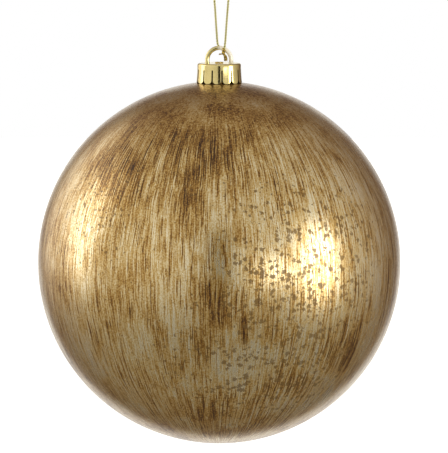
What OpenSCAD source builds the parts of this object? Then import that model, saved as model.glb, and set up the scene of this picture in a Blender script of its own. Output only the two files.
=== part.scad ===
// Ball ornament: a blown glass ball with a short neck, a slotted crown cap that grips the
// neck, a wire hanger through the cap, and a cord loop knotted round the hanger.
// Millimetres, +Z up. The origin is the hanging point: the top of the inside of the cord
// loop, where a hook or a twig carries the ornament. The ball's axis is the Z axis.

/* [Ball] */
// Diameter of the ball
ball_d = 150; // [130:5:180]
// Thickness of the glass
glass_t = 1.2; // [0.9:0.1:1.5]
// Radius of the neck outside
neck_r = 7.7; // [7.5:0.1:7.8]

/* [Cap] */
// Radius of the cap at its shoulder
cap_r = 9; // [8.9:0.1:9.3]
// Height of the cap from its top to the tips of its fingers
cap_h = 8.1; // [7.6:0.1:8.6]
// Thickness of the cap's wall
cap_t = 0.7; // [0.6:0.05:0.75]
// Number of slots, and so of fingers
slots = 14; // [10:1:16]
// Width of a slot
slot_w = 0.64; // [0.4:0.02:0.8]
// How far the finger tips flare out
flare = 0.4; // [0.2:0.1:0.6]

/* [Hanger] */
// Diameter of the wire
wire_d = 1.8; // [1.5:0.1:1.8]
// Radius of the loop at the middle of the wire
loop_r = 4.9; // [4.8:0.02:5.1]

/* [Cord] */
// Diameter of the twisted cord
cord_d = 1; // [0.8:0.1:1]

/* [Hidden] */
$fn = 72;

cap_z = -45.4;                       // top face of the cap
tip_gap = 0.15;                      // air between the finger tips and the glass
tip_r = cap_r + flare;
ball_r = ball_d / 2;
ball_z = cap_z - cap_h - tip_gap - sqrt(ball_r * ball_r - tip_r * tip_r);

shoulder_r = 0.9;                    // rounding of the cap's top edge
boss_r = 1.8;                        // ribbed boss on the middle of the cap
boss_h = 0.3;
rib_count = 16;
rib_w = 0.3;
rib_h = 0.15;

bore_r = neck_r - glass_t;           // inside of the neck
lip_z = cap_z - cap_t - 0.4;         // rim of the neck, just under the cap's top
lip_r = 8.05;                        // bead round the rim, which the fingers snap over
lip_h = 1.4;
catch_r = 8.13;                      // inside radius of the bead on the fingers
catch_z = lip_z - lip_h - 0.4;       // top of that bead
catch_h = 0.8;

slot_top = cap_z - 2.5;              // round top end of each slot
slot_turn = 7.4;                     // from the front to the nearest slot, in degrees
finger_round = 1.4;                  // rounding of the finger tips

wire_r = wire_d / 2;
hole_r = wire_r + 0.1;               // running fit of the wire in the cap
loop_z = cap_z + 1.3;                // middle of the loop's half circle
bend_r = 6;                          // bends of the legs inside the neck
// Each leg from the loop down: a straight length, then a turn outwards in degrees.
leg_steps = [[2.4, 4], [6, -4], [4, -20], [3, 0]];

// The cord's route, from the knot in front of the loop, up, over the hanging point, down,
// behind the wire and under it, and back into the knot.
route = [[2, -2.4, -40.2], [2.2, -2.3, -39], [2.4, -2, -37.5], [2.6, -1.4, -35.5],
         [2.8, -0.8, -32.5], [3.1, -0.3, -28], [3.5, 0, -23], [3.9, 0, -18], [4.3, 0, -12],
         [4.7, 0, -7], [4.8, 0, -3.8], [4.3, 0, -1.6], [2.9, 0, 0], [0.9, 0, 0.5],
         [-1.1, 0, 0], [-2.5, 0, -1.6], [-3, 0, -3.8], [-2.9, 0, -7], [-2.5, 0, -12],
         [-2.1, 0, -18], [-1.7, 0, -23], [-1.4, 0.2, -28], [-1.1, 0.5, -32.5],
         [-0.9, 1, -35.6], [-0.7, 1.6, -37.4], [-0.4, 2, -38.4], [0.4, 2.1, -39.2],
         [1.2, 2, -39.9], [1.7, 1.5, -40.8], [1.8, 0.6, -41.4], [1.8, -0.6, -41.6],
         [1.7, -1.6, -41.3]];
cord_sides = 8;

knot_r = 0.75;                       // the knot is about one and a half cords thick
knot_top = [2, -2.4, -39.7];
knot_low = [1.7, -2.3, -41.4];
side_tail = [[1.4, -2.2, -41.7], [0.2, -2, -41.8]];
down_tail = [[1.9, -2, -41.8], [2.5, -1.7, -42.7], [2.6, -1.4, -43.5]];
tail_r = cord_d / 2;
frayed_r = 0.8;                      // the longer tail's end has come untwisted
soft_fn = 20;

// A round stretch between two points, which may differ in radius.
module stretch(from, to, from_r, to_r) {
    hull() {
        translate(from) sphere(r = from_r, $fn = soft_fn);
        translate(to) sphere(r = to_r, $fn = soft_fn);
    }
}

// --- Ball -----------------------------------------------------------------------------

module glass_ball() {
    color("darkgoldenrod") difference() {
        union() {
            translate([0, 0, ball_z]) sphere(r = ball_r, $fn = 180);
            translate([0, 0, ball_z]) cylinder(r = neck_r, h = lip_z - ball_z);
            neck_fillet();
            translate([0, 0, lip_z - lip_h]) neck_bead();
        }
        translate([0, 0, ball_z]) sphere(r = ball_r - glass_t, $fn = 180);
        translate([0, 0, ball_z]) cylinder(r = bore_r, h = ball_r * 2);
    }
}

// The rolled bead round the neck's rim.
module neck_bead() {
    bead_r = lip_r - neck_r;
    rotate_extrude() {
        translate([neck_r - 0.3, bead_r]) square([bead_r + 0.3, lip_h - 2 * bead_r]);
        translate([neck_r, bead_r]) circle(r = bead_r, $fn = 32);
        translate([neck_r, lip_h - bead_r]) circle(r = bead_r, $fn = 32);
        translate([neck_r - 0.3, 0]) square([0.3, lip_h]);
    }
}

// The small hollow curve where the ball turns up into the neck.
module neck_fillet() {
    round_r = 0.6;
    foot = sqrt(ball_r * ball_r - neck_r * neck_r);
    translate([0, 0, ball_z + foot - 0.3]) rotate_extrude() difference() {
        translate([neck_r - 0.2, 0]) square([round_r + 0.2, 0.3 + round_r]);
        translate([neck_r + round_r, 0.3 + round_r]) circle(r = round_r, $fn = 48);
    }
}

// --- Cap ------------------------------------------------------------------------------

// Half of the cap's section: outside down to the flared tips, then back up the inside.
module cap_section() {
    arc = [for (a = [90 : -15 : 0])
        [cap_r - shoulder_r + shoulder_r * cos(a), -shoulder_r + shoulder_r * sin(a)]];
    skirt = [for (s = [0.2 : 0.2 : 1])
        [cap_r + flare * s * s, -shoulder_r - (cap_h - shoulder_r) * s]];
    lining = [for (i = [len(skirt) - 1 : -1 : 0]) skirt[i] - [cap_t, 0]];
    polygon(concat([[0, 0]], arc, skirt, lining,
                   [[cap_r - cap_t, -shoulder_r], [cap_r - shoulder_r, -cap_t], [0, -cap_t]]));
}

// One slot with its round top and the rounded corners of the fingers beside it.
module slot_outline() {
    long = slot_top - (cap_z - cap_h);
    translate([-slot_w / 2, -1]) square([slot_w, long + 1 - slot_w / 2]);
    translate([0, long - slot_w / 2]) circle(d = slot_w, $fn = 32);
    difference() {
        translate([-slot_w / 2 - finger_round, -1])
            square([slot_w + 2 * finger_round, 1 + finger_round]);
        for (side = [-1, 1])
            translate([side * (slot_w / 2 + finger_round), finger_round])
                circle(r = finger_round, $fn = 48);
    }
}

module slot_cutter() {
    translate([0, -cap_r + 1.6, cap_z - cap_h]) rotate([90, 0, 0])
        linear_extrude(height = 3) slot_outline();
}

// The bead inside the fingers that holds under the neck's own bead.
module finger_catch() {
    wall_r = cap_r - cap_t + 0.15;
    translate([0, 0, catch_z - catch_h]) rotate_extrude()
        polygon([[wall_r + 0.2, 0], [catch_r, catch_h * 0.35], [catch_r, catch_h * 0.65],
                 [wall_r + 0.2, catch_h]]);
}

module ribbed_boss() {
    cylinder(r = boss_r, h = boss_h);
    for (i = [0 : rib_count - 1])
        rotate(i * 360 / rib_count)
            translate([boss_r * 0.45, -rib_w / 2, 0]) cube([boss_r * 0.5, rib_w, boss_h + rib_h]);
}

module cap_crown() {
    color("gold") difference() {
        union() {
            translate([0, 0, cap_z]) rotate_extrude() cap_section();
            translate([0, 0, cap_z - 0.1]) ribbed_boss();
            finger_catch();
        }
        for (i = [0 : slots - 1])
            rotate(slot_turn + i * 360 / slots) slot_cutter();
        for (side = [-1, 1])
            translate([side * loop_r, 0, cap_z - 2]) cylinder(r = hole_r, h = 4);
    }
}

// --- Hanger ---------------------------------------------------------------------------

// Wire from here along Z: each step is a straight length and then a turn towards +X.
module wire_run(steps, i = 0) {
    if (i < len(steps)) {
        reach = steps[i][0];
        turn = steps[i][1];
        side = turn < 0 ? -1 : 1;
        cylinder(r = wire_r, h = reach);
        translate([0, 0, reach]) {
            if (turn != 0)
                translate([side * bend_r, 0, 0]) rotate([90, 0, side > 0 ? 180 : 0])
                    rotate_extrude(angle = abs(turn)) translate([bend_r, 0])
                        circle(r = wire_r, $fn = 48);
            translate([side * bend_r * (1 - cos(turn)), 0, bend_r * sin(abs(turn))])
                rotate([0, turn, 0]) wire_run(steps, i + 1);
        }
    }
}

module wire_hanger() {
    color("goldenrod") {
        translate([0, 0, loop_z]) rotate([90, 0, 0])
            rotate_extrude(angle = 180) translate([loop_r, 0]) circle(r = wire_r, $fn = 48);
        for (side = [0, 1]) mirror([side, 0, 0])
            translate([loop_r, 0, loop_z]) mirror([0, 0, 1]) wire_run(leg_steps);
    }
}

// --- Cord -----------------------------------------------------------------------------

// The way a tube runs at one of its points, and the ring of points round it there.
function along(path, i) =
    let (step = path[min(i + 1, len(path) - 1)] - path[max(i - 1, 0)]) step / norm(step);
function ring(path, i, r, sides) =
    let (way = along(path, i),
         flat = cross([0, 1, 0.02], way),
         right = flat / norm(flat),
         up = cross(way, right))
    [for (k = [0 : sides - 1])
        path[i] + r * (cos(k * 360 / sides) * right + sin(k * 360 / sides) * up)];

module tube(path, r, sides) {
    last = (len(path) - 1) * sides;
    points = [for (i = [0 : len(path) - 1]) each ring(path, i, r, sides)];
    walls = [for (i = [0 : len(path) - 2], k = [0 : sides - 1])
        let (a = i * sides + k, b = i * sides + (k + 1) % sides)
        [a, a + sides, b + sides, b]];
    polyhedron(points, concat([[for (k = [0 : sides - 1]) k]], walls,
                              [[for (k = [sides - 1 : -1 : 0]) last + k]]));
}

module hanging_cord() {
    color("khaki") tube(route, cord_d / 2, cord_sides);
}

module cord_knot() {
    color("darkkhaki") {
        stretch(knot_low, knot_top, knot_r, knot_r);
        stretch(side_tail[0], side_tail[1], tail_r, tail_r);
        stretch(down_tail[0], down_tail[1], tail_r, frayed_r);
        stretch(down_tail[1], down_tail[2], frayed_r, frayed_r);
    }
}

glass_ball();
cap_crown();
wire_hanger();
hanging_cord();
cord_knot();
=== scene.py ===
"""A large glass ball ornament in antique champagne gold, hanging on its knotted cord.

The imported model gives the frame. The ball, its crown cap, the wire loop, the cord and the
knot are modelled here round it and replace the plain CAD nodes.
"""

from __future__ import annotations

import logging
import math
from collections.abc import Callable, Sequence
from dataclasses import dataclass, field
from enum import Enum

import bmesh
import bpy
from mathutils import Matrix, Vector

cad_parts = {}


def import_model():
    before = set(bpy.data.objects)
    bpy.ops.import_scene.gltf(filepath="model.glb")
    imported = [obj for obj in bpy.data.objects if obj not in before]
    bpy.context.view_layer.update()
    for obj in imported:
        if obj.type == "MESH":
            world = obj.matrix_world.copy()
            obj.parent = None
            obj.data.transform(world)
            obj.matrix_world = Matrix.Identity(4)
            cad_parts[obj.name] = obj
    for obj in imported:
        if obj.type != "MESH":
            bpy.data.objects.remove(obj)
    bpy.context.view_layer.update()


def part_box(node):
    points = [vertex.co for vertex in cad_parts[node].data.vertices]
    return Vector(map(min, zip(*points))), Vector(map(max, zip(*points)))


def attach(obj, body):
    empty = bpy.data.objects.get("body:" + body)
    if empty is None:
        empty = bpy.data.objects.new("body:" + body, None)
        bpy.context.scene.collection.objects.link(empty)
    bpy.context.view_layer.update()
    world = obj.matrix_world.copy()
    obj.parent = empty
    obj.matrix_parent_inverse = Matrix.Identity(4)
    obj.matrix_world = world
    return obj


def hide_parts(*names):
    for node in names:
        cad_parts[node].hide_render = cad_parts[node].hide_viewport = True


log = logging.getLogger("ornament")

MM = 0.001
FULL_TURN = 2 * math.pi
BALL_RADIUS = 75.0  # millimetres
BOSS_RISE = 0.35  # of the boss over the cap's top, in millimetres
Colour = tuple[float, float, float, float]
Outline = list[tuple[float, float]]
Route = tuple[tuple[float, float, float], ...]
Piece = bpy.types.Object
Material = bpy.types.Material
Tree = bpy.types.NodeTree
Socket = bpy.types.NodeSocket


class Body(Enum):
    """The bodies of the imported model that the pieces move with."""

    CORD = "cord"
    HANGER = "hanger"
    CAP = "cap"
    BALL = "ball"


# --- Colours and nodes ------------------------------------------------------------------


def linear(colour: str) -> Colour:
    """Turns an sRGB hex colour into a linear one.

    Args:
        colour: Six hex digits after a #.

    Returns:
        Linear red, green and blue, and an alpha of 1.
    """
    values = []
    for start in (1, 3, 5):
        part = int(colour[start : start + 2], 16) / 255
        values.append(part / 12.92 if part <= 0.04045 else ((part + 0.055) / 1.055) ** 2.4)
    return (values[0], values[1], values[2], 1.0)


def add(tree: Tree, kind: str, inputs: dict | None = None, **settings: object) -> bpy.types.Node:
    """Adds a node, sets it up and links it.

    Args:
        tree: The tree that gets the node.
        kind: The node's type, without its ShaderNode prefix.
        inputs: What each input gets, by its name or number: a value or another node's output.
        settings: The node's own properties.

    Returns:
        The new node.
    """
    node = tree.nodes.new("ShaderNode" + kind)
    for name, value in settings.items():
        setattr(node, name, value)
    for name, value in (inputs or {}).items():
        if isinstance(value, bpy.types.NodeSocket):
            tree.links.new(value, node.inputs[name])
        else:
            node.inputs[name].default_value = value
    return node


def calc(tree: Tree, operation: str, *values: Socket | float, **settings: object) -> Socket:
    """Adds a sum of numbers.

    Args:
        tree: The tree that gets the node.
        operation: What it does.
        values: Its numbers.
        settings: The node's own properties.

    Returns:
        The result.
    """
    return add(tree, "Math", dict(enumerate(values)), operation=operation, **settings).outputs[0]


def calc_vector(tree: Tree, operation: str, *values: Socket | Sequence[float]) -> Socket:
    """Adds a sum of vectors.

    Args:
        tree: The tree that gets the node.
        operation: What it does.
        values: Its vectors.

    Returns:
        The result, which is a number if it's a length.
    """
    node = add(tree, "VectorMath", dict(enumerate(values)), operation=operation)
    return node.outputs["Value" if operation == "LENGTH" else "Vector"]


def remap(
    tree: Tree, value: Socket, start: tuple[float, float], end: tuple[float, float], ease: bool = False
) -> Socket:
    """Stretches one range of a value to another, and holds it at the ends.

    Args:
        tree: The tree that gets the node.
        value: The value.
        start: The two ends of its range.
        end: What it is there afterwards.
        ease: Leave the ends gently.

    Returns:
        The new value.
    """
    inputs = {0: value, 1: start[0], 2: start[1], 3: end[0], 4: end[1]}
    return add(tree, "MapRange", inputs, interpolation_type="SMOOTHSTEP" if ease else "LINEAR").outputs[0]


def noise(tree: Tree, place: Socket, scale: float, detail: float, roughness: float = 0.5) -> bpy.types.Node:
    """Adds cloudy noise.

    Args:
        tree: The tree that gets the node.
        place: Where on the piece.
        scale: How many clouds there are in a unit of the place.
        detail: Octaves of finer noise.
        roughness: How strong those are.

    Returns:
        The noise node.
    """
    inputs = {"Vector": place, "Scale": scale, "Detail": detail, "Roughness": roughness}
    return add(tree, "TexNoise", inputs)


def blend(tree: Tree, amount: Socket, first: Socket | Colour, second: Colour) -> Socket:
    """Mixes two colours.

    Args:
        tree: The tree that gets the node.
        amount: How much of the second there is, from 0 to 1.
        first: The colour at 0.
        second: The colour at 1.

    Returns:
        The mixed colour.
    """
    return add(tree, "Mix", {0: amount, 6: first, 7: second}, data_type="RGBA").outputs[2]


def millimetres(tree: Tree, centre: Sequence[float] = (0, 0, 0)) -> Socket:
    """Gives the place on a piece.

    Args:
        tree: The tree that gets the nodes.
        centre: Where the place is measured from, in metres.

    Returns:
        The place in millimetres.
    """
    where = add(tree, "TexCoord").outputs["Object"]
    start = tuple(-value / MM for value in centre)
    return add(tree, "Mapping", {"Vector": where, "Location": start, "Scale": (1 / MM,) * 3}).outputs[0]


def new_material(name: str) -> tuple[Material, Tree]:
    """Makes an empty node material.

    Args:
        name: What the finish is.

    Returns:
        The material and its empty tree.
    """
    material = bpy.data.materials.new(name)
    material.use_nodes = True
    material.node_tree.nodes.clear()
    return material, material.node_tree


def coat_with(tree: Tree, inputs: dict) -> None:
    """Adds a material's surface.

    Args:
        tree: The material's tree.
        inputs: What the surface shader's inputs get.
    """
    surface = add(tree, "BsdfPrincipled", inputs)
    add(tree, "OutputMaterial", {"Surface": surface.outputs[0]})


def set_stops(ramp: bpy.types.Node, stops: Sequence[tuple[float, str]]) -> None:
    """Gives a colour ramp its stops.

    Args:
        ramp: The ramp node.
        stops: Each stop's place from 0 to 1 and its hex colour.
    """
    elements = ramp.color_ramp.elements
    while len(elements) < len(stops):
        elements.new(1.0)
    for element, (place, colour) in zip(elements, stops):
        element.position = place
        element.color = linear(colour)


# --- Finishes ---------------------------------------------------------------------------


@dataclass(frozen=True)
class Spot:
    """A soft oval area on the ball, seen from its centre.

    Attributes:
        azimuth: Degrees round the ball from the front towards +X.
        height: Degrees above the equator.
        width: Half its width in millimetres.
        length: Half its height in millimetres.
        strength: How strong it is, from 0 to 1.
    """

    azimuth: float
    height: float
    width: float
    length: float
    strength: float

    def centre(self, radius: float) -> tuple[float, float, float]:
        """Gives the spot's middle.

        Args:
            radius: The ball's radius.

        Returns:
            The place, from the ball's centre.
        """
        flat = radius * math.cos(math.radians(self.height))
        turn = math.radians(self.azimuth)
        return (flat * math.sin(turn), -flat * math.cos(turn), radius * math.sin(math.radians(self.height)))


@dataclass(frozen=True)
class AntiqueLacquer:
    """Champagne gold lacquer under a brushed brown glaze, on glass.

    The lacquer is a satin metallic paint, so softboxes show in it as wide soft patches. The
    glaze is wiped down the ball with a dry brush: it leaves fine brown lines from pole to
    pole, and pools in cloudy patches. Small taupe flecks are scattered over it, and a thin
    clear coat gives the pale edge.

    Attributes:
        centre: The ball's centre, in metres.
        radius_mm: The ball's radius.
        line_mm: Width of the fine lines.
        line_stretch: How many times longer than wide they are.
        stroke_mm: Width of the wider strokes.
        stroke_stretch: How many times longer than wide they are.
        thread_mm: Width of the few dark threads.
        thread_stretch: How many times longer than wide they are.
        cloud_mm: Size of the clouds in the glaze.
        wander_mm: How far a line wanders sideways.
        wander_size_mm: The length over which it does.
        fleck_cell_mm: Space between two flecks.
        fleck_mm: Radius of the largest fleck.
        dot_cell_mm: Space between two fine dots.
        dot_mm: Radius of the largest dot.
        pools: Where the glaze has pooled.
        heavy_fields: Where the strokes are coarser.
        fleck_fields: Where the flecks are.
        dot_fields: Where the dots are.
    """

    centre: Vector
    radius_mm: float = BALL_RADIUS
    line_mm: float = 0.36
    line_stretch: float = 42.0
    stroke_mm: float = 1.1
    stroke_stretch: float = 22.0
    thread_mm: float = 0.5
    thread_stretch: float = 34.0
    cloud_mm: float = 16.0
    wander_mm: float = 1.6
    wander_size_mm: float = 16.0
    fleck_cell_mm: float = 2.15
    fleck_mm: float = 1.25
    dot_cell_mm: float = 1.5
    dot_mm: float = 0.55
    pools: tuple[Spot, ...] = (
        Spot(-2, 62, 9, 9, 0.55),
        Spot(8, 74, 16, 9, 0.3),
        Spot(-1, -7, 9, 11, 0.5),
        Spot(8.5, -15, 4, 8, 0.42),
        Spot(-9, -22, 8, 16, 0.4),
        Spot(45, -22, 14, 14, 0.5),
        Spot(28, -36, 14, 12, 0.45),
        Spot(3, -45, 18, 12, 0.4),
        Spot(-24, 40, 36, 24, 0.46),
        Spot(24, 46, 28, 18, 0.22),
        Spot(0, -58, 32, 16, 0.22),
        Spot(-48, 38, 4, 16, 0.45),
        Spot(-20, 36, 20, 14, 0.3),
        Spot(130, 20, 22, 26, 0.45),
        Spot(190, -25, 26, 20, 0.5),
        Spot(235, 35, 16, 22, 0.4),
    )
    heavy_fields: tuple[Spot, ...] = (
        Spot(66, 0, 44, 60, 0.6),
        Spot(46, 34, 40, 34, 0.4),
        Spot(46, -34, 40, 34, 0.4),
        Spot(-70, -20, 30, 50, 0.25),
    )
    fleck_fields: tuple[Spot, ...] = (
        Spot(29, 3, 52, 48, 1.0),
        Spot(20, -26, 52, 44, 1.05),
        Spot(-42, 24, 34, 36, 0.6),
        Spot(-10, -20, 34, 36, 0.5),
        Spot(150, 0, 40, 34, 0.8),
        Spot(215, -20, 30, 30, 0.7),
    )
    dot_fields: tuple[Spot, ...] = (
        Spot(-45, 22, 34, 40, 1.0),
        Spot(28, -8, 44, 50, 0.85),
        Spot(180, 10, 60, 50, 0.8),
    )

    def _field(self, tree: Tree, place: Socket, spots: Sequence[Spot]) -> Socket:
        """Joins soft oval areas.

        Args:
            tree: The tree that gets the nodes.
            place: Millimetres from the ball's centre.
            spots: The areas.

        Returns:
            A value that is the strength in a spot's middle and falls to 0 past its edge.
        """
        total: Socket | None = None
        for spot in spots:
            offset = calc_vector(tree, "SUBTRACT", place, spot.centre(self.radius_mm))
            reach = (1 / spot.width, 1 / spot.width, 1 / spot.length)
            far = calc_vector(tree, "LENGTH", calc_vector(tree, "MULTIPLY", offset, reach))
            fall = remap(tree, far, (0.25, 1.45), (spot.strength, 0.0), ease=True)
            total = fall if total is None else calc(tree, "MAXIMUM", total, fall)
        return total

    def _flecks(self, tree: Tree, place: Socket, amount: Socket, cell_mm: float, size_mm: float) -> Socket:
        """Scatters irregular specks.

        Args:
            tree: The tree that gets the nodes.
            place: Millimetres from the ball's centre.
            amount: How many there are, from 0 to 1.
            cell_mm: The space between two specks.
            size_mm: The radius of the largest.

        Returns:
            1 in a speck and 0 outside.
        """
        ragged = noise(tree, place, 1 / (0.8 * size_mm), 2.0).outputs["Color"]
        shift = calc_vector(tree, "SUBTRACT", ragged, (0.5, 0.5, 0.5))
        moved = calc_vector(tree, "MULTIPLY_ADD", shift, (1.8 * size_mm,) * 3, place)
        cells = add(tree, "TexVoronoi", {"Vector": moved, "Scale": 1 / cell_mm})
        chance = add(tree, "SeparateColor", {0: cells.outputs["Color"]}).outputs[0]
        largest = size_mm / cell_mm
        size = remap(tree, chance, (0.1, 1.0), (0.25 * largest, largest))
        grown = calc(tree, "MULTIPLY", size, amount)
        inside = calc(tree, "SUBTRACT", grown, cells.outputs["Distance"])
        edge = 0.14 / cell_mm
        return remap(tree, inside, (-0.3 * edge, edge), (0.0, 1.0))

    def _brushed(self, tree: Tree, place: Socket) -> Callable[[float, float, float, float], Socket]:
        """Prepares noise that is drawn out along the brush.

        Args:
            tree: The tree that gets the nodes.
            place: Millimetres from the ball's centre.

        Returns:
            A function that makes such noise, from a line's width in millimetres, how many
            times longer it is, octaves of finer noise and how strong those are.
        """
        # Round the ball and up it, in millimetres at the equator, so that lines run from pole
        # to pole and draw together there.
        around = calc_vector(tree, "NORMALIZE", calc_vector(tree, "MULTIPLY", place, (1, 1, 0)))
        bend = noise(tree, place, 1 / self.wander_size_mm, 1.0).outputs["Color"]
        bend_mid = calc_vector(tree, "SUBTRACT", bend, (0.5, 0.5, 0.5))
        bent = calc_vector(tree, "MULTIPLY", bend_mid, (self.wander_mm,) * 3)
        ring = calc_vector(tree, "MULTIPLY_ADD", around, (self.radius_mm,) * 3, bent)
        ring_parts = add(tree, "SeparateXYZ", {0: ring}).outputs
        height = add(tree, "SeparateXYZ", {0: place}).outputs[2]
        angle = calc(tree, "ARCSINE", calc(tree, "DIVIDE", height, self.radius_mm))

        # Close round the cap the brush only dabs, so the lines give way to mottle there.
        dabbed = remap(tree, height, (50.0, 71.0), (0.0, 0.85))
        mottle = remap(tree, noise(tree, place, 1.0, 4.0, 0.68).outputs["Fac"], (0.3, 0.7), (0.39, 0.63))

        def brushed(size_mm: float, stretch: float, detail: float, rough: float) -> Socket:
            """Makes one such noise, a value round 0.5."""
            up = calc(tree, "MULTIPLY", angle, self.radius_mm / stretch)
            drawn = add(tree, "CombineXYZ", {0: ring_parts[0], 1: ring_parts[1], 2: up}).outputs[0]
            lines = noise(tree, drawn, 1 / size_mm, detail, rough).outputs["Fac"]
            return add(tree, "Mix", {0: dabbed, 2: lines, 3: mottle}).outputs[0]

        return brushed

    def make(self) -> Material:
        """Builds the material.

        Returns:
            The lacquer material.
        """
        material, tree = new_material("lacquered_glass_antique_champagne_gold")
        place = millimetres(tree, self.centre)
        brushed = self._brushed(tree, place)
        lines = brushed(self.line_mm, self.line_stretch, 2.0, 0.6)
        strokes = brushed(self.stroke_mm, self.stroke_stretch, 4.0, 0.7)
        threads = brushed(self.thread_mm, self.thread_stretch, 1.0, 0.5)
        grain = noise(tree, place, 1.6, 2.0).outputs["Fac"]
        drawn = calc_vector(tree, "MULTIPLY", place, (1, 1, 0.5))
        clouds = noise(tree, drawn, 1 / self.cloud_mm, 4.0, 0.65).outputs["Fac"]

        # How much glaze is left: lines, strokes and a few dark threads, with more of them all
        # in clouds and pools, and less where the flecks are thick.
        line_part = remap(tree, lines, (0.38, 0.6), (0.0, 1.0))
        stroke_part = remap(tree, strokes, (0.34, 0.68), (0.0, 1.0))
        thread_part = remap(tree, threads, (0.57, 0.66), (0.0, 0.34))
        grain_part = remap(tree, grain, (0.3, 0.7), (-0.18, 0.18))
        cloud_part = remap(tree, clouds, (0.36, 0.66), (-0.175, 0.195))
        fine = calc(tree, "MULTIPLY_ADD", line_part, 0.39, grain_part)
        stroked = calc(tree, "MULTIPLY_ADD", stroke_part, 0.32, fine)
        heavy = self._field(tree, place, self.heavy_fields)
        coarse = calc(tree, "MULTIPLY_ADD", calc(tree, "SUBTRACT", stroke_part, 0.5), heavy, stroked)
        cloudy = calc(tree, "ADD", calc(tree, "ADD", coarse, thread_part), cloud_part)
        field_level = self._field(tree, place, self.fleck_fields)
        paler = calc(tree, "MULTIPLY_ADD", field_level, -0.1, cloudy)
        streaky_pool = calc(tree, "MULTIPLY_ADD", stroke_part, 0.8, 0.25)
        pooled = calc(tree, "MULTIPLY", self._field(tree, place, self.pools), streaky_pool)
        glaze = calc(tree, "ADD", paler, pooled, use_clamp=True)
        tones = add(tree, "ValToRGB", {0: glaze})
        pale = [(0.0, "#EEE0BE"), (0.2, "#DDC694"), (0.42, "#C39F5B")]
        set_stops(tones, pale + [(0.62, "#9B702D"), (0.82, "#684313"), (1.0, "#3B230A")])

        # Flecks: thin taupe spots where the lacquer beneath shows, thickest in a few fields.
        patchy = remap(tree, clouds, (0.35, 0.6), (0.1, 0.45))
        fleck_level = calc(tree, "MAXIMUM", field_level, patchy)
        flecks = self._flecks(tree, place, fleck_level, self.fleck_cell_mm, self.fleck_mm)
        dot_level = self._field(tree, place, self.dot_fields)
        dots = self._flecks(tree, place, dot_level, self.dot_cell_mm, self.dot_mm)
        shown = calc(tree, "MULTIPLY", calc(tree, "MAXIMUM", flecks, dots), 0.82)

        dull = calc(tree, "MULTIPLY_ADD", shown, -0.15, 0.95)
        rough = calc(tree, "MULTIPLY_ADD", glaze, 0.12, 0.25)
        ridges = add(tree, "Bump", {"Height": glaze, "Strength": 0.35, "Distance": 0.02 * MM})
        coat_with(
            tree,
            {
                "Base Color": blend(tree, shown, tones.outputs[0], linear("#6A4F22")),
                "Metallic": calc(tree, "MULTIPLY_ADD", glaze, -0.25, dull),
                "Roughness": calc(tree, "MULTIPLY_ADD", shown, 0.2, rough),
                "IOR": 1.5,
                "Coat Weight": 0.4,
                "Coat Roughness": 0.2,
                "Coat IOR": 1.5,
                "Normal": ridges.outputs[0],
            },
        )
        return material


@dataclass(frozen=True)
class GoldPlate:
    """Bright gold plating: a mirror with a yellow tint and a faint ripple from pressing.

    Attributes:
        name: What the finish is.
        colour: Its hex colour.
        tarnish: The hex colour of its small stains.
        roughness: How hazy it is.
        ripple_mm: The size of the ripple.
        ripple_depth_mm: Its depth.
        painted_highlight_past_mm: Towards +X of this the plating is painted almost white, a painted highlight
            of the bright softbox on that side.
    """

    name: str
    colour: str
    tarnish: str
    roughness: float
    ripple_mm: float
    ripple_depth_mm: float
    painted_highlight_past_mm: float = 1000.0

    def make(self) -> Material:
        """Builds the material.

        Returns:
            The plating material.
        """
        material, tree = new_material(self.name)
        place = millimetres(tree)
        ripple = noise(tree, place, 1 / self.ripple_mm, 1.0).outputs["Fac"]
        stain = noise(tree, place, 0.9, 3.0, 0.65).outputs["Fac"]
        dark = remap(tree, stain, (0.52, 0.72), (0.0, 0.45))
        colour = blend(tree, dark, linear(self.colour), linear(self.tarnish))
        haze = remap(tree, stain, (0.4, 0.7), (self.roughness, 2.2 * self.roughness))
        # Painted highlight: towards +X the plating turns near white, less metallic and hazier, standing in
        # for the softbox's reflection.
        across = add(tree, "SeparateXYZ", {0: place}).outputs[0]
        painted_highlight = remap(tree, across, (self.painted_highlight_past_mm - 1, self.painted_highlight_past_mm + 1), (0.0, 1.0))
        depth = self.ripple_depth_mm * MM
        bump = add(tree, "Bump", {"Height": ripple, "Strength": 1.0, "Distance": depth})
        coat_with(
            tree,
            {
                "Base Color": blend(tree, painted_highlight, colour, linear("#FFF9E8")),
                "Metallic": calc(tree, "MULTIPLY_ADD", painted_highlight, -0.85, 1.0),
                "Roughness": calc(tree, "MULTIPLY_ADD", painted_highlight, 0.2, haze),
                "Normal": bump.outputs[0],
            },
        )
        return material


@dataclass(frozen=True)
class SlotShade:
    """The walls of the cap's slots: dark painted shade in the slots, on moulded plastic that the plating
    hardly reaches.
    """

    def make(self) -> Material:
        """Builds the material.

        Returns:
            The plastic material.
        """
        material, tree = new_material("slot_walls_painted_shade")
        inputs = {"Base Color": linear("#33240E"), "Metallic": 0.3, "Roughness": 0.55, "IOR": 1.5}
        coat_with(tree, inputs)
        return material


@dataclass(frozen=True)
class ShadedNeckGlass:
    """The bare neck and the inside: glass backed with brown paint, kept this dark and dull as painted shade
    for the neck seen through the cap's slots.
    """

    def make(self) -> Material:
        """Builds the material.

        Returns:
            The glass material.
        """
        material, tree = new_material("silvered_glass_neck_painted_shade")
        mottle = noise(tree, millimetres(tree), 0.6, 3.0).outputs["Fac"]
        tones = add(tree, "ValToRGB", {0: mottle})
        # Very dark browns: the glass's own tone, deepened as painted shade for the neck under the cap.
        set_stops(tones, [(0.3, "#33241A"), (0.55, "#251911"), (0.75, "#170F0A")])
        haze = remap(tree, mottle, (0.3, 0.7), (0.4, 0.6))
        coat_with(
            tree, {"Base Color": tones.outputs[0], "Metallic": 0.0, "Roughness": haze, "IOR": 1.3}
        )
        return material


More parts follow.
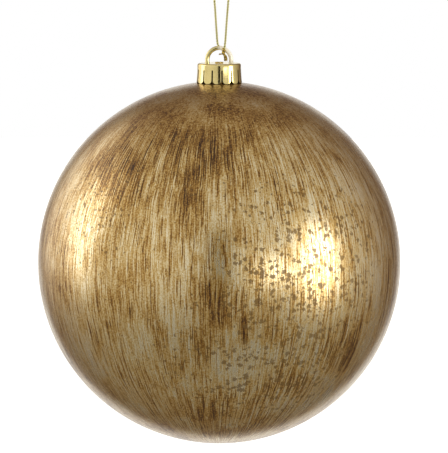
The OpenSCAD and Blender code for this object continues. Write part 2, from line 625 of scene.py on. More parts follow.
@dataclass(frozen=True)
class MetallicThread:
    """Twisted metallic thread: flat plastic film, gold on its face, wound round a core.

    Each turn of film gets its own painted glint, so the colour and gloss change from one to the next
    along the yarn, from a shaded tone to a bright one. The valleys between the yarns get painted
    shade. The film is 0.1 mm wide and is drawn wider, or it wouldn't show.

    Attributes:
        name: What the finish is.
        bright: The hex colour of film with a painted glint.
        shade: The hex colour of film with painted shade, as if turned away.
        deep: The hex colour of the painted shade between two yarns.
        film_mm: The drawn width of the film.
    """

    name: str
    bright: str
    shade: str
    deep: str
    film_mm: float = 0.3

    def make(self) -> Material:
        """Builds the material.

        Returns:
            The thread material.
        """
        material, tree = new_material(self.name)
        around = add(tree, "UVMap", uv_map="yarn").outputs[0]
        valley = add(tree, "Attribute", attribute_name="valley").outputs["Fac"]
        # Painted glints: noise along the film picks a bright or a shaded tone for each turn.
        glint = noise(tree, around, 1 / self.film_mm, 1.0).outputs["Fac"]
        tones = add(tree, "ValToRGB", {0: glint})
        set_stops(tones, [(0.34, self.shade), (0.6, self.bright)])
        # Painted shade in the valleys between the yarns, from how far in the surface lies.
        deep = remap(tree, valley, (0.24, 0.62), (0.0, 1.0))
        film = add(tree, "TexWave", {"Vector": around, "Scale": 1.6 / self.film_mm, "Distortion": 1.5})
        bump = add(tree, "Bump", {"Height": film.outputs["Fac"], "Strength": 0.6, "Distance": 0.03 * MM})
        coat_with(
            tree,
            {
                "Base Color": blend(tree, deep, tones.outputs[0], linear(self.deep)),
                "Metallic": 0.25,
                "Roughness": remap(tree, glint, (0.3, 0.7), (0.5, 0.26)),
                "IOR": 1.5,
                "Normal": bump.outputs[0],
            },
        )
        return material


# --- Modelling --------------------------------------------------------------------------


def pick(piece: Piece | None = None) -> None:
    """Deselects everything, and then selects one piece if it's given.

    Args:
        piece: The piece, which is made the active one.
    """
    bpy.ops.object.select_all(action="DESELECT")
    if piece:
        piece.select_set(True)
        bpy.context.view_layer.objects.active = piece


def settle(name: str) -> Piece:
    """Names the piece that was just added and puts its place into its mesh.

    Args:
        name: The piece's name.

    Returns:
        The piece.
    """
    piece = bpy.context.object
    piece.name = name
    piece.data.name = name
    bpy.ops.object.transform_apply(location=True, rotation=True, scale=True)
    return piece


def choose(piece: Piece, test: Callable[[Vector], bool], faces: bool = False) -> None:
    """Selects points or faces of the piece that is being edited, by their place.

    Args:
        piece: The piece, in edit mode.
        test: Says of a place, in metres, if what is there is selected.
        faces: Test the middle of each face, and not each point.
    """
    bpy.ops.mesh.select_mode(type="FACE" if faces else "VERT")
    mesh = bmesh.from_edit_mesh(piece.data)
    for part in mesh.faces if faces else mesh.verts:
        part.select_set(test(part.calc_center_median() if faces else part.co))
    mesh.select_flush_mode()
    bmesh.update_edit_mesh(piece.data)


def trace(name: str, points: Sequence[Vector]) -> Piece:
    """Draws an open line through points, by extruding one point along it.

    Args:
        name: The piece's name.
        points: The places, in metres.

    Returns:
        The piece, in edit mode, with its last point selected.
    """
    pick()
    bpy.ops.mesh.primitive_circle_add(vertices=3, radius=MM, location=(0, 0, 0))
    piece = settle(name)
    bpy.ops.object.mode_set(mode="EDIT")
    choose(piece, lambda place: place.y < MM / 2)
    bpy.ops.mesh.delete(type="VERT")
    choose(piece, lambda place: True)
    bpy.ops.transform.translate(value=points[0] - Vector((0, MM, 0)))
    for before, after in zip(points, points[1:]):
        bpy.ops.mesh.extrude_region_move(TRANSFORM_OT_translate={"value": after - before})
    return piece


def lathe(name: str, outline: Outline, sides: int) -> Piece:
    """Turns an outline round the vertical axis, as glass and caps are.

    Args:
        name: The piece's name.
        outline: Radius and height of each point, in millimetres, outside first.
        sides: How many faces go round.

    Returns:
        The closed piece, in object mode.
    """
    piece = trace(name, [Vector((radius, 0, height)) * MM for radius, height in outline])
    bpy.ops.mesh.select_all(action="SELECT")
    bpy.ops.mesh.spin(steps=sides, angle=FULL_TURN, center=(0, 0, 0), axis=(0, 0, 1))
    bpy.ops.mesh.select_all(action="SELECT")
    bpy.ops.mesh.remove_doubles(threshold=0.002 * MM)
    bpy.ops.mesh.normals_make_consistent(inside=False)
    bpy.ops.object.mode_set(mode="OBJECT")
    return piece


def arc(centre: tuple[float, float], radius: float, start: float, end: float, steps: int) -> Outline:
    """Gives the points of an arc of an outline.

    Args:
        centre: Its middle, in millimetres.
        radius: Its radius.
        start: The first point's angle in degrees, from +X towards up.
        end: The last point's angle.
        steps: How many lengths it has.

    Returns:
        The points, both ends included.
    """
    points = []
    for step in range(steps + 1):
        angle = math.radians(start + (end - start) * step / steps)
        points.append((centre[0] + radius * math.cos(angle), centre[1] + radius * math.sin(angle)))
    return points


def finish_with(piece: Piece, kind: str, **settings: object) -> None:
    """Adds a modifier and applies it.

    Args:
        piece: The piece.
        kind: The modifier's type.
        settings: Its properties.
    """
    pick(piece)
    modifier = piece.modifiers.new(kind.lower(), kind)
    for name, value in settings.items():
        setattr(modifier, name, value)
    bpy.ops.object.modifier_apply(modifier=modifier.name)


def smooth(piece: Piece, degrees: float) -> None:
    """Shades a piece smooth, with creases.

    Args:
        piece: The piece.
        degrees: Where faces turn by more than this there is a crease.
    """
    pick(piece)
    bpy.ops.object.shade_smooth_by_angle(angle=math.radians(degrees))


def place_in(piece: Piece, body: Body, node: str) -> None:
    """Says what a finished piece moves with and stands for.

    Args:
        piece: The piece.
        body: The body that carries it.
        node: The CAD node that it replaces.
    """
    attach(piece, body.value)
    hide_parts(node)
    log.info("%s: %d faces, rides on %s", piece.name, len(piece.data.polygons), body.value)


# --- Ball -------------------------------------------------------------------------------


@dataclass
class Ball:
    """The blown ball with its neck, in one piece.

    Attributes:
        cap_top: Height of the cap's top, in millimetres.
        centre: Height of the ball's centre.
        radius: Radius of the ball.
        glass: Thickness of the glass.
        neck_radius: Outside radius of the neck.
        lip_drop: How far the neck's rim is below the cap's top.
        bead_radius: Outside radius of the bead at the rim.
        bead_height: Height of that bead.
        bead_inset: How far the bead's roll reaches into the neck's wall.
        lip_round: Rounding of the rim's inner edge.
        fillet: Radius where the ball turns up into the neck.
        painted_to: How far below the cap's top the lacquer ends.
        sides: How many faces go round.
    """

    cap_top: float
    centre: float
    radius: float = BALL_RADIUS
    glass: float = 1.2
    neck_radius: float = 7.7
    lip_drop: float = 1.1
    bead_radius: float = 8.05
    bead_height: float = 1.4
    bead_inset: float = 0.35
    lip_round: float = 0.5
    fillet: float = 0.6
    painted_to: float = 7.2
    sides: int = 192

    def outline(self) -> Outline:
        """Gives half the ball's section, from the south pole up outside and down inside."""
        lip = self.cap_top - self.lip_drop
        foot_angle = math.degrees(math.acos((self.neck_radius + self.fillet) / self.radius))
        outside = arc((0, self.centre), self.radius, -90, foot_angle, 132)
        foot = outside[-1][1]
        turn = arc((self.neck_radius + self.fillet, foot + self.fillet), self.fillet, 262, 180, 6)
        roll = (self.bead_radius - self.neck_radius + self.bead_inset) / 2
        bead_middle = self.bead_radius - roll
        bead = arc((bead_middle, lip - self.bead_height + roll), roll, -60, 0, 4)
        rim = arc((bead_middle, lip - roll), roll, 0, 90, 6)
        bore = self.neck_radius - self.glass
        inner_radius = self.radius - self.glass
        inner_angle = math.degrees(math.acos(bore / inner_radius))
        rolled_in = arc((bore + self.lip_round, lip - self.lip_round), self.lip_round, 90, 180, 5)
        inside = arc((0, self.centre), inner_radius, inner_angle, -90, 60)
        return outside + turn + bead + rim + rolled_in + inside

    def make(self, lacquer: Material, bare: Material) -> Piece:
        """Models the ball and dresses it.

        Args:
            lacquer: The finish of the ball.
            bare: The finish of its neck and inside, darkened as painted shade.

        Returns:
            The piece.
        """
        piece = lathe("blown_ball", self.outline(), self.sides)
        smooth(piece, 40)
        piece.data.materials.append(lacquer)
        piece.data.materials.append(bare)
        middle = Vector((0, 0, self.centre * MM))
        painted = (self.radius - self.glass / 2) * MM
        neck_foot = (self.cap_top - self.painted_to) * MM
        bpy.ops.object.mode_set(mode="EDIT")
        choose(piece, lambda place: (place - middle).length < painted or place.z > neck_foot, faces=True)
        piece.active_material_index = 1
        bpy.ops.object.material_slot_assign()
        bpy.ops.object.mode_set(mode="OBJECT")
        place_in(piece, Body.BALL, "glass_ball")
        return piece


# --- Cap --------------------------------------------------------------------------------


@dataclass
class CrownCap:
    """The slotted cap that grips the neck, with a ribbed boss on top.

    Attributes:
        top: Height of its top face, in millimetres.
        radius: Radius at the shoulder.
        height: From the top to the finger tips.
        wall: Thickness.
        flare: How far the tips stand out.
        shoulder: Rounding of the top edge.
        slots: How many slots it has.
        slot_width: Width of a slot.
        slot_drop: From the top face to the top of a slot.
        first_slot: Degrees from the front to the nearest slot.
        tip_round: Rounding of the finger tips.
        hole_apart: From the middle to each hole for the wire.
        hole_radius: Radius of those holes.
        boss: Half the boss's section: radius, and height over the top face.
        ribs: How many ribs fan out on the boss.
        rib_size: Length, width and height of a rib.
        rib_place: A rib's middle: from the axis, and over the top face.
        sides: How many faces go round.
    """

    top: float
    radius: float = 9.0
    height: float = 8.1
    wall: float = 0.7
    flare: float = 0.4
    shoulder: float = 0.9
    slots: int = 14
    slot_width: float = 0.64
    slot_drop: float = 2.5
    first_slot: float = 7.4
    tip_round: float = 1.4
    hole_apart: float = 4.9
    hole_radius: float = 1.0
    boss: tuple[tuple[float, float], ...] = ((0.0, 0.32), (1.5, 0.28), (1.8, 0.1), (2.0, 0.0))
    ribs: int = 16
    rib_size: tuple[float, float, float] = (0.9, 0.3, 0.34)
    rib_place: tuple[float, float] = (1.25, 0.3)
    sides: int = 224

    def outline(self) -> Outline:
        """Gives half the cap's section, from its middle out and down, then back up inside."""
        crown = [(radius, self.top + over) for radius, over in self.boss]
        corner = arc((self.radius - self.shoulder, self.top - self.shoulder), self.shoulder, 90, 0, 8)
        skirt = []
        for step in range(1, 9):
            share = step / 8
            drop = self.shoulder + (self.height - self.shoulder) * share
            skirt.append((self.radius + self.flare * share**2, self.top - drop))
        lining = [(x - self.wall, z) for x, z in reversed(skirt)]
        inner_corner = arc(
            (self.radius - self.shoulder, self.top - self.shoulder), self.shoulder - self.wall, 0, 90, 4
        )
        return crown + corner + skirt + lining + inner_corner + [(0.0, self.top - self.wall)]

    @staticmethod
    def _repeat(count: int) -> None:
        """Copies what is selected round the axis.

        Args:
            count: How many there are then in all.
        """
        bpy.ops.mesh.spin(
            steps=count - 1,
            dupli=True,
            angle=FULL_TURN * (count - 1) / count,
            center=(0, 0, 0),
            axis=(0, 0, 1),
        )

    def _slot_tools(self) -> Piece:
        """Models the cutters of all the slots, with the rounded finger tips beside them."""
        half = self.slot_width / 2
        low = self.top - self.height
        high = self.top - self.slot_drop
        wide = half + self.tip_round
        right = arc((wide, low + self.tip_round), self.tip_round, 270, 180, 8)
        head = arc((0, high - half), half, 0, 180, 8)
        left = [(-x, z) for x, z in reversed(right)]
        ring = [(wide, low - 1)] + right + head + left + [(-wide, low - 1)]
        near = -(self.radius + 2) * MM
        tool = trace("slot_tool", [Vector((x * MM, near, z * MM)) for x, z in ring])
        bpy.ops.mesh.select_all(action="SELECT")
        bpy.ops.mesh.edge_face_add()
        bpy.ops.mesh.extrude_region_move(TRANSFORM_OT_translate={"value": (0, 5 * MM, 0)})
        bpy.ops.mesh.select_all(action="SELECT")
        bpy.ops.mesh.normals_make_consistent(inside=False)
        self._repeat(self.slots)
        bpy.ops.object.mode_set(mode="OBJECT")
        tool.rotation_euler.z = math.radians(self.first_slot)
        bpy.ops.object.transform_apply(rotation=True)
        return tool

    def _hole_tools(self) -> Piece:
        """Models the cutters of the two holes for the wire."""
        pick()
        for side in (-1, 1):
            bpy.ops.mesh.primitive_cylinder_add(
                vertices=40,
                radius=self.hole_radius * MM,
                depth=4 * MM,
                location=(side * self.hole_apart * MM, 0, self.top * MM),
            )
            if side == -1:
                first = settle("hole_tool")
            else:
                settle("hole_tool_2")
                first.select_set(True)
                bpy.context.view_layer.objects.active = first
                bpy.ops.object.join()
        return first

    def _ribs(self) -> Piece:
        """Models the small ribs that fan out on the boss."""
        pick()
        out, over = self.rib_place
        bpy.ops.mesh.primitive_cube_add(size=1, location=(out * MM, 0, (self.top + over) * MM))
        rib = bpy.context.object
        rib.scale = Vector(self.rib_size) * MM
        settle("boss_ribs")
        finish_with(rib, "BEVEL", width=0.09 * MM, segments=3)
        bpy.ops.object.mode_set(mode="EDIT")
        bpy.ops.mesh.select_all(action="SELECT")
        self._repeat(self.ribs)
        bpy.ops.object.mode_set(mode="OBJECT")
        return rib

    def make(self, plate: Material, shade: Material) -> Piece:
        """Models the cap and dresses it.

        Args:
            plate: The finish of the cap.
            shade: The dark finish of the walls of its slots, painted shade for them.

        Returns:
            The piece.
        """
        piece = lathe("crown_cap", self.outline(), self.sides)
        piece.data.materials.append(plate)
        slots = self._slot_tools()
        # The slot cutters carry the dark painted-shade finish onto the walls that they cut.
        slots.data.materials.append(shade)
        cut = {"operation": "DIFFERENCE", "solver": "EXACT"}
        finish_with(piece, "BOOLEAN", object=slots, material_mode="TRANSFER", **cut)
        bpy.data.objects.remove(slots)
        holes = self._hole_tools()
        finish_with(piece, "BOOLEAN", object=holes, **cut)
        bpy.data.objects.remove(holes)
        ribs = self._ribs()
        finish_with(piece, "BOOLEAN", object=ribs, operation="UNION", solver="EXACT")
        bpy.data.objects.remove(ribs)
        smooth(piece, 35)
        finish_with(piece, "WEIGHTED_NORMAL", keep_sharp=True)
        place_in(piece, Body.CAP, "cap_crown")
        return piece


# --- Wire loop --------------------------------------------------------------------------


@dataclass
class WireLoop:
    """The bent wire: a half circle over the cap, and two legs that bow out in the neck.

    Attributes:
        cap_top: Height of the cap's top, in millimetres.
        wire: Radius of the wire.
        loop: Radius of the loop at the middle of the wire.
        rise: From the cap's top to the middle of the loop.
        bend: Radius of the bends in the legs.
        steps: From the loop down, each straight length and the outward turn after it.
        sides: How many faces go round the wire.
    """

    cap_top: float
    wire: float = 0.9
    loop: float = 4.9
    rise: float = 1.3
    bend: float = 6.0
    steps: tuple[tuple[float, float], ...] = ((2.4, 4.0), (6.0, -4.0), (4.0, -20.0), (3.0, 0.0))
    sides: int = 32

    def _leg(self, side: int) -> None:
        """Extrudes the selected ring down one leg.

        Args:
            side: 1 for the leg at +X, -1 for the other.
        """
        spot = Vector((side * self.loop, 0, self.cap_top + self.rise))
        lean = 0.0
        for reach, turn in self.steps:
            ahead = Vector((side * math.sin(lean), 0, -math.cos(lean)))
            bpy.ops.mesh.extrude_region_move(TRANSFORM_OT_translate={"value": ahead * reach * MM})
            spot += ahead * reach
            if turn:
                way = 1 if turn > 0 else -1
                outward = Vector((side * math.cos(lean), 0, math.sin(lean)))
                middle = spot + outward * way * self.bend
                bpy.ops.mesh.spin(
                    steps=6,
                    angle=math.radians(abs(turn)),
                    center=middle * MM,
                    axis=(0, side * way, 0),
                )
                lean += math.radians(turn)
                outward = Vector((side * math.cos(lean), 0, math.sin(lean)))
                spot = middle - outward * way * self.bend
        ahead = Vector((side * math.sin(lean), 0, -math.cos(lean)))
        for share, reach in ((0.82, 0.22), (0.5, 0.16)):
            bpy.ops.mesh.extrude_region_move(TRANSFORM_OT_translate={"value": ahead * reach * MM})
            spot += ahead * reach
            size = (share, share, share)
            bpy.ops.transform.resize(value=size, center_override=spot * MM)
        bpy.ops.mesh.edge_face_add()

    def make(self, plate: Material) -> Piece:
        """Models the wire and dresses it.

        Args:
            plate: The finish of the wire.

        Returns:
            The piece.
        """
        middle = Vector((0, 0, self.cap_top + self.rise)) * MM
        start = middle + Vector((self.loop * MM, 0, 0))
        pick()
        bpy.ops.mesh.primitive_circle_add(vertices=self.sides, radius=self.wire * MM, location=start)
        piece = settle("wire_loop")
        bpy.ops.object.mode_set(mode="EDIT")
        bpy.ops.mesh.select_all(action="SELECT")
        bpy.ops.mesh.spin(steps=64, angle=math.pi, center=middle, axis=(0, 1, 0))
        for side in (-1, 1):
            choose(piece, lambda place: abs(place.z - middle.z) < 1e-6 and place.x * side > 0)
            self._leg(side)
        bpy.ops.mesh.select_all(action="SELECT")
        bpy.ops.mesh.normals_make_consistent(inside=False)
        bpy.ops.object.mode_set(mode="OBJECT")
        smooth(piece, 50)
        piece.data.materials.append(plate)
        place_in(piece, Body.HANGER, "wire_hanger")
        return piece


# --- Cord -------------------------------------------------------------------------------


@dataclass
class TwistedCord:
    """Two yarns twisted into a cord, along a smooth line through a route.

    Attributes:
        diameter: Of the whole cord, in millimetres.
        lay: The length of one full twist.
        ring_step: The distance between two rings of the mesh.
        sides: Points in a ring, an even number.
        yarns: How many yarns it has.
        yarn_share: A yarn's radius as a share of the cord's.
        valley_depth: How deep a valley counts as fully deep, for the painted shade in the valleys, as a share
            of the cord's radius.
    """

    diameter: float = 1.0
    lay: float = 2.34
    ring_step: float = 0.12
    sides: int = 24
    yarns: int = 2
    yarn_share: float = 0.52
    valley_depth: float = 0.6

    @staticmethod
    def line(route: Sequence[Vector], step: float) -> list[Vector]:
        """Runs a smooth line through a route and cuts it into equal steps.

        Args:
            route: Places in millimetres.
            step: The distance between two points of the line.

        Returns:
            The points of the line.
        """
        dense: list[Vector] = []
        last = len(route) - 1
        for i in range(last):
            before, start = route[max(i - 1, 0)], route[i]
            end, after = route[i + 1], route[min(i + 2, last)]
            for k in range(24):
                t = k / 24
                dense.append(
                    0.5
                    * (
                        2 * start
                        + (end - before) * t
                        + (2 * before - 5 * start + 4 * end - after) * t**2
                        + (3 * start - before - 3 * end + after) * t**3
                    )
                )
        dense.append(route[-1].copy())
        lengths = [0.0]
        for a, b in zip(dense, dense[1:]):
            lengths.append(lengths[-1] + (b - a).length)
        count = max(2, round(lengths[-1] / step))
        points: list[Vector] = []
        at = 0
        for i in range(count + 1):
            want = lengths[-1] * i / count
            while at < len(lengths) - 2 and lengths[at + 1] < want:
                at += 1
            share = (want - lengths[at]) / max(lengths[at + 1] - lengths[at], 1e-9)
            points.append(dense[at].lerp(dense[at + 1], min(share, 1.0)))
        return points

    def _edge(self, angle: float, radius: float) -> float:
        """Gives the outline of the cord's section.

        Args:
            angle: The direction across the section.
            radius: The cord's radius.

        Returns:
            How far the edge is from the middle there.
        """
        slot = FULL_TURN / self.yarns
        off = (angle + slot / 2) % slot - slot / 2
        yarn = self.yarn_share * radius
        apart = radius - yarn
        return apart * math.cos(off) + math.sqrt(max(yarn**2 - (apart * math.sin(off)) ** 2, 0.0))

    def mesh(
        self, name: str, runs: Sequence[tuple[Sequence[Vector], Callable[[float], float]]]
    ) -> Piece:
        """Builds one mesh of one or more runs of cord.

        Args:
            name: The piece's name.
            runs: For each run, its line in millimetres and its radius at a share of its length.

        Returns:
            The piece.
        """
        points: list[Vector] = []
        faces: list[list[int]] = []
        marks: list[tuple[float, float]] = []
        depths: list[float] = []
        for line, radius_at in runs:
            base = len(points)
            side = Vector((0, 1, 0.02))
            along = 0.0
            for i, spot in enumerate(line):
                ahead = (line[min(i + 1, len(line) - 1)] - line[max(i - 1, 0)]).normalized()
                side = (side - ahead * side.dot(ahead)).normalized()
                across = ahead.cross(side)
                if i:
                    along += (spot - line[i - 1]).length
                twist = FULL_TURN * along / self.lay
                radius = radius_at(i / (len(line) - 1))
                for k in range(self.sides):
                    angle = FULL_TURN * k / self.sides
                    reach = self._edge(angle, radius)
                    turned = angle + twist
                    points.append((spot + (side * math.cos(turned) + across * math.sin(turned)) * reach) * MM)
                    marks.append((k / self.sides * FULL_TURN * radius, along))
                    # How far in the surface lies, which the thread's finish turns into painted shade in the
                    # valleys.
                    depths.append((1 - reach / radius) / self.valley_depth)
            for i in range(len(line) - 1):
                for k in range(self.sides):
                    low, high = base + i * self.sides, base + (i + 1) * self.sides
                    near, far = k, (k + 1) % self.sides
                    faces.append([low + near, low + far, high + far, high + near])
            top = base + (len(line) - 1) * self.sides
            faces.append([base + k for k in reversed(range(self.sides))])
            faces.append([top + k for k in range(self.sides)])
        mesh = bpy.data.meshes.new(name)
        mesh.from_pydata(points, [], faces)
        layer = mesh.uv_layers.new(name="yarn")
        for loop in mesh.loops:
            layer.data[loop.index].uv = marks[loop.vertex_index]
        mesh.attributes.new("valley", "FLOAT", "POINT").data.foreach_set("value", depths)
        mesh.update()
        piece = bpy.data.objects.new(name, mesh)
        bpy.context.scene.collection.objects.link(piece)
        smooth(piece, 60)
        return piece


@dataclass
class CordLoop:
    """The cord: from the knot up, over the hanging point, down behind the wire and back.

    Attributes:
        route: The places that it passes, in millimetres.
        cord: How it is twisted.
    """

    route: Route = (
        (2, -2.4, -40.2), (2.2, -2.3, -39), (2.4, -2, -37.5), (2.6, -1.4, -35.5),
        (2.8, -0.8, -32.5), (3.1, -0.3, -28), (3.5, 0, -23), (3.9, 0, -18), (4.3, 0, -12),
        (4.7, 0, -7), (4.8, 0, -3.8), (4.3, 0, -1.6), (2.9, 0, 0), (0.9, 0, 0.5),
        (-1.1, 0, 0), (-2.5, 0, -1.6), (-3, 0, -3.8), (-2.9, 0, -7), (-2.5, 0, -12),
        (-2.1, 0, -18), (-1.7, 0, -23), (-1.4, 0.2, -28), (-1.1, 0.5, -32.5),
        (-0.9, 1, -35.6), (-0.7, 1.6, -37.4), (-0.4, 2, -38.4), (0.4, 2.1, -39.2),
        (1.2, 2, -39.9), (1.7, 1.5, -40.8), (1.8, 0.6, -41.4), (1.8, -0.6, -41.6),
        (1.7, -1.6, -41.3),
    )
    cord: TwistedCord = field(default_factory=TwistedCord)

    def make(self, thread: Material) -> tuple[Piece, list[Vector]]:
        """Models the cord and dresses it.

        Args:
            thread: Its finish.

        Returns:
            The piece, and the line that it follows in metres.
        """
        line = TwistedCord.line([Vector(place) for place in self.route], self.cord.ring_step)
        radius = self.cord.diameter / 2
        piece = self.cord.mesh("twisted_cord", [(line, lambda share: radius)])
        piece.data.materials.append(thread)
        place_in(piece, Body.CORD, "hanging_cord")
        return piece, [place * MM for place in line]


@dataclass
class TiedKnot:
    """The knot that ties the cord under the wire, with its two short ends.

    Attributes:
        low: The bottom of the knot's core, in millimetres.
        high: The top of that core.
        turns: How often the cord is wound round the core.
        wound: Radius from the core's middle to the middle of the winding cord.
        hairs: How many filaments the untwisted end has.
        hair_radius: Radius of a filament.
        side_end: The places that the end which sticks out sideways passes.
        down_end: The places that the untwisted end passes, downwards.
        cord: How it is twisted.
    """

    low: tuple[float, float, float] = (1.75, -2.3, -41.4)
    high: tuple[float, float, float] = (2.05, -2.35, -39.3)
    turns: float = 2.6
    wound: float = 0.4
    hairs: int = 22
    hair_radius: float = 0.13
    side_end: Route = (
        (1.9, -2.5, -41.2), (1.2, -2.5, -41.5), (0.4, -2.1, -41.6), (-0.1, -2, -41.8),
    )
    down_end: Route = (
        (1.7, -2.1, -41.3), (2.2, -2, -42.0), (2.6, -1.7, -43), (2.65, -1.5, -44.6),
    )
    cord: TwistedCord = field(default_factory=lambda: TwistedCord(sides=18))

    def _winding(self) -> list[Vector]:
        """Gives the line of the cord that is wound round the core."""
        low, high = Vector(self.low), Vector(self.high)
        up = (high - low).normalized()
        side = up.orthogonal().normalized()
        across = up.cross(side)
        points = []
        steps = 60
        for i in range(steps + 1):
            angle = FULL_TURN * self.turns * i / steps
            spot = low.lerp(high, i / steps)
            points.append(spot + (side * math.cos(angle) + across * math.sin(angle)) * self.wound)
        return points

    def _hair(self, number: int, step: float) -> list[Vector]:
        """Gives the line of one filament of the untwisted lower end.

        Args:
            number: Which filament it is.
            step: The distance between two points of the line.

        Returns:
            The points of the line.
        """
        line = TwistedCord.line([Vector(place) for place in self.down_end], step)
        angle = 2.4 * number
        spread = 0.72 * math.sqrt((number + 0.5) / self.hairs)
        reach = len(line) - (number * 7) % 6
        points = []
        for i, spot in enumerate(line[:reach]):
            share = i / len(line)
            out = spread * (0.35 + 0.65 * min(1.0, 2.2 * share))
            turn = angle + 1.1 * share
            away = Vector((math.cos(turn), math.sin(turn), 0.1 * math.sin(number)))
            points.append(spot + away * out)
        return points

    def make(self, thread: Material) -> Piece:
        """Models the knot and dresses it.

        Args:
            thread: Its finish.

        Returns:
            The piece.
        """
        full = self.cord.diameter / 2
        low, high = Vector(self.low), Vector(self.high)
        step = self.cord.ring_step
        side_line = TwistedCord.line([Vector(place) for place in self.side_end], step)
        runs = [
            (TwistedCord.line(self._winding(), step), lambda share: full),
            (TwistedCord.line([low, high], step), lambda share: 0.8 * full),
            (side_line, lambda share: full * (0.9 - 0.3 * share)),
        ]
        for number in range(self.hairs):
            runs.append((self._hair(number, step), lambda share: self.hair_radius))
        piece = self.cord.mesh("tied_knot", runs)
        piece.data.materials.append(thread)
        place_in(piece, Body.CORD, "cord_knot")
        return piece


# --- Studio -----------------------------------------------------------------------------


@dataclass
class Studio:
    """A white studio: a pale floor, four soft lights, and a camera a little above.

    Attributes:
        ball: The ball's centre, in metres.
        distance: From the camera to the ball.
        tall: The height that the picture shows at the ball.
        aim: What the picture's middle shows, from the ball's centre to the right and up.
        look_down: Degrees that the camera looks down.
    """

    ball: Vector
    distance: float = 1.7
    tall: float = 0.1877
    aim: tuple[float, float] = (0.00198, 0.01478)
    look_down: float = 6.0

    def camera(self) -> None:
        """Creates the camera."""
        tilt = math.radians(self.look_down)
        up = Vector((0, math.sin(tilt), math.cos(tilt)))
        back = Vector((0, -math.cos(tilt), math.sin(tilt)))
        target = self.ball + Vector((self.aim[0], 0, 0)) + up * self.aim[1]
        pick()
        bpy.ops.object.camera_add(location=target + back * self.distance, rotation=(math.pi / 2 - tilt, 0, 0))
        camera = bpy.context.object
        camera.name = "studio_camera"
        camera.data.sensor_fit = "VERTICAL"
        camera.data.sensor_height = 24.0
        camera.data.lens = camera.data.sensor_height * self.distance / self.tall
        camera.data.clip_end = 50.0
        bpy.context.scene.camera = camera

    def softbox(
        self,
        name: str,
        azimuth: float,
        height: float,
        size: tuple[float, float],
        power: float,
        tint: str,
    ) -> None:
        """Adds a softbox that faces the ball from a metre away.

        Args:
            name: Its name.
            azimuth: Degrees from the camera's side towards +X.
            height: Degrees above the ball.
            size: Its width and height in metres.
            power: Its power in watts.
            tint: Its hex colour.
        """
        turn, rise = math.radians(azimuth), math.radians(height)
        way = Vector((math.sin(turn) * math.cos(rise), -math.cos(turn) * math.cos(rise), math.sin(rise)))
        pick()
        bpy.ops.object.light_add(type="AREA", location=self.ball + way)
        light = bpy.context.object
        light.name = name
        light.rotation_euler = (-way).to_track_quat("-Z", "Y").to_euler()
        light.data.shape = "RECTANGLE"
        light.data.size, light.data.size_y = size
        light.data.energy = power
        light.data.color = linear(tint)[:3]
        light.data.use_nodes = True
        tree = light.data.node_tree
        tree.nodes.clear()
        across = add(tree, "NewGeometry").outputs["Parametric"]
        from_middle = calc_vector(tree, "ABSOLUTE", calc_vector(tree, "SUBTRACT", across, (0.5, 0.5, 0)))
        sides = add(tree, "SeparateXYZ", {0: from_middle}).outputs
        falls = [remap(tree, sides[axis], (0.12, 0.5), (1.5, 0.0), ease=True) for axis in (0, 1)]
        level = calc(tree, "MULTIPLY", *falls)
        glow = add(tree, "Emission", {"Strength": level})
        add(tree, "OutputLight", {"Surface": glow.outputs[0]})

    def camera_shade(self) -> None:
        """Adds the dark upright strip that a camera on its stand makes in a bright cap."""
        pick()
        place = self.ball + Vector((0, -1.2, 0.12))
        bpy.ops.mesh.primitive_plane_add(size=1, location=place, rotation=(math.pi / 2, 0, 0))
        strip = bpy.context.object
        strip.scale = (0.25, 0.9, 1)
        settle("camera_shade")
        material, tree = new_material("matt_black_cloth")
        surface = add(tree, "BsdfDiffuse", {"Color": linear("#1A1712")})
        add(tree, "OutputMaterial", {"Surface": surface.outputs[0]})
        strip.data.materials.append(material)
        strip.visible_camera = False
        strip.visible_shadow = False

    def surroundings(self) -> None:
        """Sets the world: white where the camera looks, and a dim warm room round about."""
        world = bpy.data.worlds.new("studio_room")
        bpy.context.scene.world = world
        world.use_nodes = True
        tree = world.node_tree
        tree.nodes.clear()
        path = add(tree, "LightPath")
        white = add(tree, "Background", {"Color": linear("#FFFFFF"), "Strength": 1.0})
        way = add(tree, "TexCoord").outputs["Generated"]
        parts = add(tree, "SeparateXYZ", {0: way}).outputs
        walls = add(tree, "ValToRGB", {0: remap(tree, parts[1], (-1.0, 1.0), (0.0, 1.0))})
        front = [(0.0, "#DAD8D2"), (0.5, "#CFCBC2")]
        set_stops(walls, front + [(0.7, "#B0A498"), (0.86, "#7E6E66"), (0.95, "#6C5D58")])
        low = remap(tree, parts[2], (-0.7, 0.15), (0.36, 1.0), ease=True)
        left = remap(tree, parts[0], (-0.15, -0.8), (1.0, 1.3), ease=True)
        dim = add(
            tree,
            "Background",
            {"Color": walls.outputs[0], "Strength": calc(tree, "MULTIPLY", low, left)},
        )
        below = calc(tree, "MINIMUM", parts[2], 0.0)
        toward = calc(tree, "MULTIPLY_ADD", below, -0.31, parts[1])
        behind = remap(tree, toward, (0.93, 0.98), (0.0, 1.0))
        room = add(tree, "MixShader", {0: behind, 1: dim.outputs[0], 2: white.outputs[0]})
        seen = path.outputs["Is Camera Ray"]
        both = add(tree, "MixShader", {0: seen, 1: room.outputs[0], 2: white.outputs[0]})
        add(tree, "OutputWorld", {"Surface": both.outputs[0]})

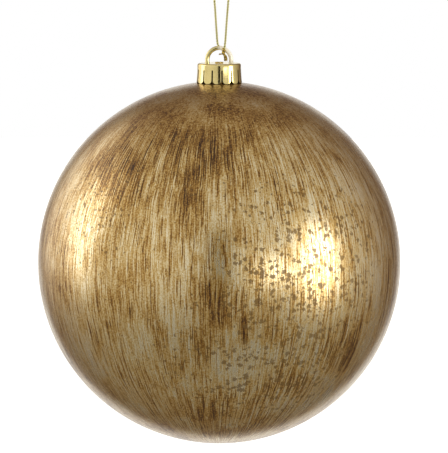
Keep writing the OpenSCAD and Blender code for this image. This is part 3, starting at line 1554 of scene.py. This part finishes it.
    def floor(self) -> None:
        """Adds the pale floor, well below the hanging ball."""
        pick()
        bpy.ops.mesh.primitive_plane_add(size=12, location=(0, 0, self.ball.z - 0.45))
        floor = settle("pale_floor")
        material, tree = new_material("pale_matt_paper")
        surface = add(tree, "BsdfDiffuse", {"Color": linear("#FFFFFF")})
        glow = add(tree, "Emission", {"Color": linear("#FFFFFF"), "Strength": 0.75})
        both = add(tree, "AddShader", {0: surface.outputs[0], 1: glow.outputs[0]})
        add(tree, "OutputMaterial", {"Surface": both.outputs[0]})
        floor.data.materials.append(material)
        floor.visible_glossy = False

    def make(self) -> None:
        """Sets up the light and the floor."""
        self.surroundings()
        self.floor()
        self.softbox("right_softbox", 64, 2, (0.55, 0.85), 4.0, "#FFFDF8")
        self.softbox("front_strip", 34, 0, (0.56, 0.28), 0.7, "#FFFDF8")
        self.softbox("left_softbox", -99, 16, (0.78, 1.36), 2.8, "#F6F9FF")
        self.softbox("left_wing", -132, 16, (0.8, 1.5), 1.6, "#FFFBF2")
        self.camera_shade()
        settings = bpy.context.scene.view_settings
        settings.view_transform = "Standard"
        settings.look = "None"


def main() -> None:
    """Builds the ornament and its studio."""
    logging.basicConfig(level=logging.INFO, format="%(name)s: %(message)s")
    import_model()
    pick()

    cap_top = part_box("cap_crown")[1][2] / MM - BOSS_RISE
    ball_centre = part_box("glass_ball")[0][2] / MM + BALL_RADIUS
    log.info("cap's top at %.2f mm, ball's centre at %.2f mm", cap_top, ball_centre)
    ball = Vector((0, 0, ball_centre * MM))

    studio = Studio(ball)
    studio.camera()

    # Thread colours: painted glint, painted shade of turned-away film, and painted shade in the valleys.
    thread = MetallicThread("metallic_gold_thread", "#FFF9AE", "#F0E27E", "#2E2606").make()
    # A darker, browner copy of the thread for the knot: painted shade for its packed turns.
    in_knot = "metallic_gold_thread_painted_shade_in_knot"
    shaded_knot_thread = MetallicThread(in_knot, "#EECB5C", "#AA8932", "#33270A").make()
    cord, line = CordLoop().make(thread)
    knot = TiedKnot().make(shaded_knot_thread)

    # The wire's side towards +X gets a painted highlight, near white.
    wire_plate = GoldPlate("bright_gold_plated_wire", "#E0D296", "#7A5E28", 0.08, 3.0, 0.01, -0.4)
    cap_plate = GoldPlate("bright_gold_plated_cap", "#EDDA98", "#BFA960", 0.09, 2.6, 0.012)
    lacquer = AntiqueLacquer(ball)
    WireLoop(cap_top).make(wire_plate.make())
    CrownCap(cap_top).make(cap_plate.make(), SlotShade().make())
    Ball(cap_top, ball_centre).make(lacquer.make(), ShadedNeckGlass().make())
    studio.make()


if __name__ == "__main__":
    main()
